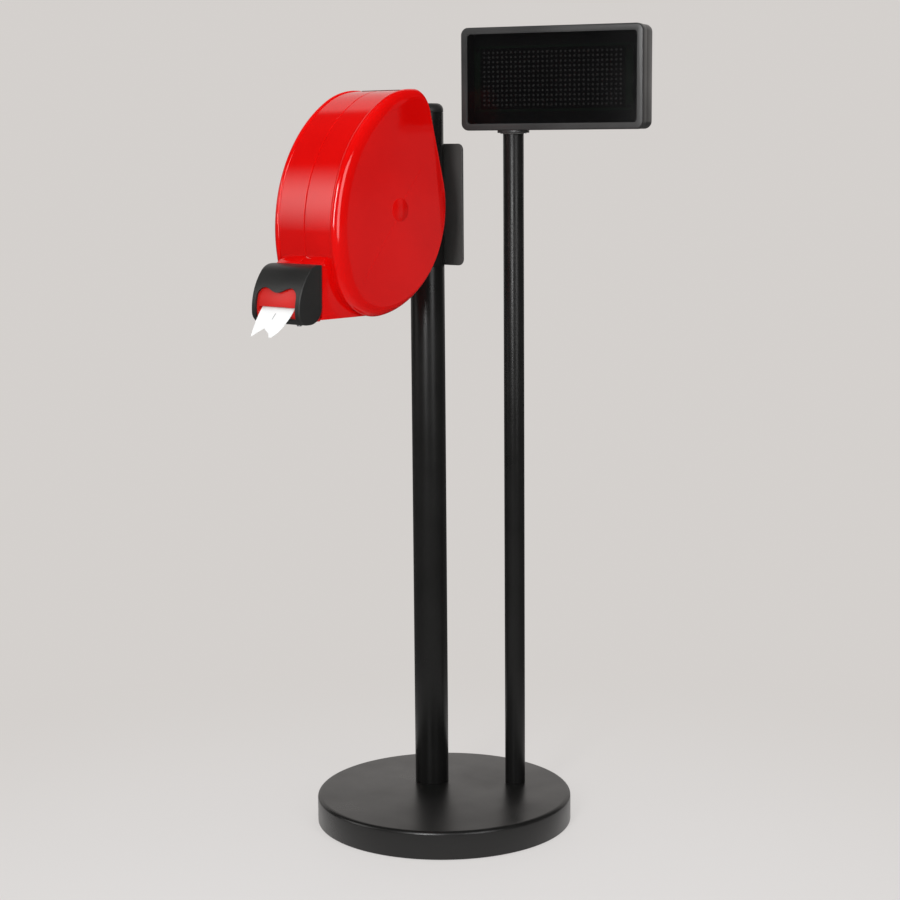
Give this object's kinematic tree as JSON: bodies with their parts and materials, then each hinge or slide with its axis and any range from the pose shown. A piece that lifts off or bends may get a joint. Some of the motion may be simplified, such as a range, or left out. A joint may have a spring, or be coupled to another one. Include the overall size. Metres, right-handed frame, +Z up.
{
  "type": "take a number dispenser",
  "caption": "Floor stand with a red teardrop ticket dispenser on a black post and an LED counter display on a thinner post, over a round weighted base.",
  "frame": {"origin": "centre of the round base on the floor", "axes": "+Z up, the ticket leaves the dispenser towards -Y, +X is to the right of someone facing it from behind the stand's base centre looking along +Y"},
  "size_m": [0.3749, 0.4129, 0.985],
  "materials": {
    "base_black": "satin black powder coat",
    "iron_weight": "rough cast iron",
    "pad_rubber": "matte rubber",
    "post_black": "satin black powder coat",
    "cap_black": "satin moulded plastic",
    "zinc_steel": "zinc-plated",
    "insert_brass": "turned",
    "red_shell": "glossy moulded plastic",
    "latch_maroon": "dark moulded plastic",
    "hood_black": "fine-grained moulded plastic",
    "spindle_black": "moulded plastic",
    "ticket_paper": "uncoated paper",
    "core_card": "grey-brown cardboard",
    "bezel_black": "satin moulded plastic",
    "window_smoke": "glossy smoked acrylic",
    "mask_black": "matte",
    "lamp_dark": "unlit lamp lenses",
    "board_green": "solder resist",
    "inlet_black": "moulded plastic",
    "bush_nylon": "black nylon"
  },
  "bodies": {
    "stand": {"floor_pad": "pad_rubber", "base_weight": "iron_weight", "base_cover": "base_black", "main_post": "post_black", "post_cap": "cap_black", "main_foot_plug": "zinc_steel", "display_post": "post_black", "display_foot_plug": "zinc_steel", "foot_bolts": "zinc_steel", "foot_washers": "zinc_steel", "rear_plate": "post_black", "saddle": "post_black", "mount_bolts": "zinc_steel", "mount_washers": "zinc_steel", "mount_inserts": "insert_brass", "left_shell": "red_shell", "hinge_pin": "zinc_steel", "outlet_block": "red_shell", "snout_hood": "hood_black", "hood_screws": "zinc_steel", "block_screws": "zinc_steel", "paper_web": "ticket_paper", "spindle": "spindle_black", "spindle_screws": "zinc_steel", "roll_retainer": "spindle_black", "retainer_screw": "zinc_steel", "swivel_bush": "bush_nylon"},
    "cover": {"right_cover": "red_shell"},
    "latch": {"latch_bar": "latch_maroon", "latch_spring": "zinc_steel"},
    "ticket": {"ticket_strip": "ticket_paper"},
    "roll": {"ticket_roll": "ticket_paper", "roll_core": "core_card"},
    "display": {"bezel": "bezel_black", "window": "window_smoke", "led_mask": "mask_black", "led_lamps": "lamp_dark", "driver_board": "board_green", "board_screws": "zinc_steel", "rear_housing": "bezel_black", "housing_screws": "zinc_steel", "dc_inlet": "inlet_black", "swivel_flange": "bezel_black", "flange_screws": "zinc_steel"}
  },
  "joints": [
    {"name": "cover_hinge", "type": "hinge", "parent": "stand", "child": "cover", "pos_m": [-0.039, -0.1485, 0.6505], "axis": [0, 1, 0], "range_deg": [0, 85]},
    {"name": "latch_press", "type": "slide", "parent": "stand", "child": "latch", "axis": [0, 0, -1], "range_m": [0, 0.0035], "stiffness_N_per_m": 800, "springref_m": -0.003, "deforming": ["latch_spring"]},
    {"name": "ticket_feed", "type": "hinge", "parent": "stand", "child": "ticket", "pos_m": [-0.039, -0.14068, 0.58464], "axis": [1, 0, 0], "range_deg": [0, 21]},
    {"name": "roll_spin", "type": "hinge", "parent": "stand", "child": "roll", "pos_m": [-0.039, -0.086, 0.7695], "axis": [1, 0, 0], "continuous": true},
    {"name": "display_swivel", "type": "hinge", "parent": "stand", "child": "display", "pos_m": [0.047, 0.084, 0.9], "axis": [0, 0, 1], "range_deg": [-60, 60]}
  ],
  "couplings": [
    {"joint": "roll_spin", "follows": "ticket_feed", "ratio": -1.7647}
  ]
}
